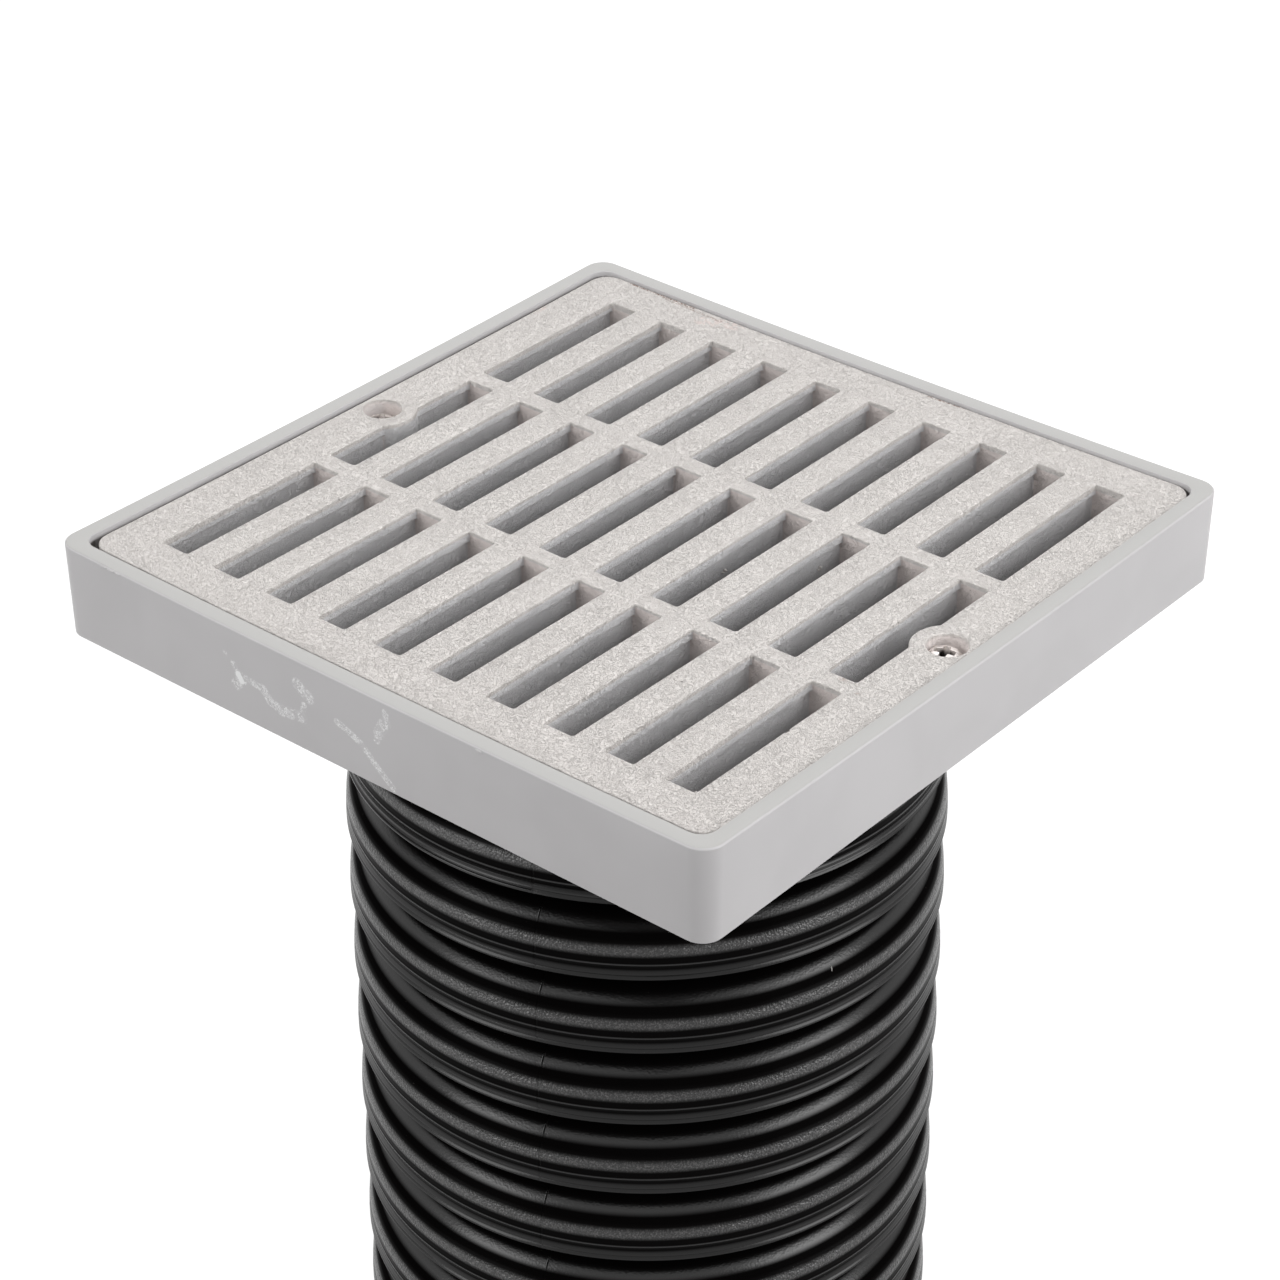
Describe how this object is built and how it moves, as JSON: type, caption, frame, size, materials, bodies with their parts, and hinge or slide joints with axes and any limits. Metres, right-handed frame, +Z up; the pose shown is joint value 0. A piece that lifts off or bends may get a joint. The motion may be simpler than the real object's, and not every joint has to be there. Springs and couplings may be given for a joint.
{
  "type": "drain grate",
  "caption": "Square slotted drain grate held by screws in a square frame whose round spigot stands in a length of corrugated drain pipe.",
  "frame": {"origin": "centre of the pipe's cut lower end, on the pipe's axis", "axes": "+Z up along the pipe's axis, +Y along the slots, +X across the slots towards one screw"},
  "size_m": [0.231, 0.231, 0.2839],
  "materials": {
    "grate_plastic": "fine leather grain, light warm grey",
    "frame_plastic": "smooth satin, neutral light grey",
    "stainless_steel": "bright, slightly worn",
    "black_polyethylene": "satin with a pebbled grain"
  },
  "bodies": {
    "root": {"grate": "grate_plastic", "frame": "frame_plastic", "screw_left": "stainless_steel", "screw_right": "stainless_steel", "corrugated_pipe": "black_polyethylene"}
  },
  "joints": []
}
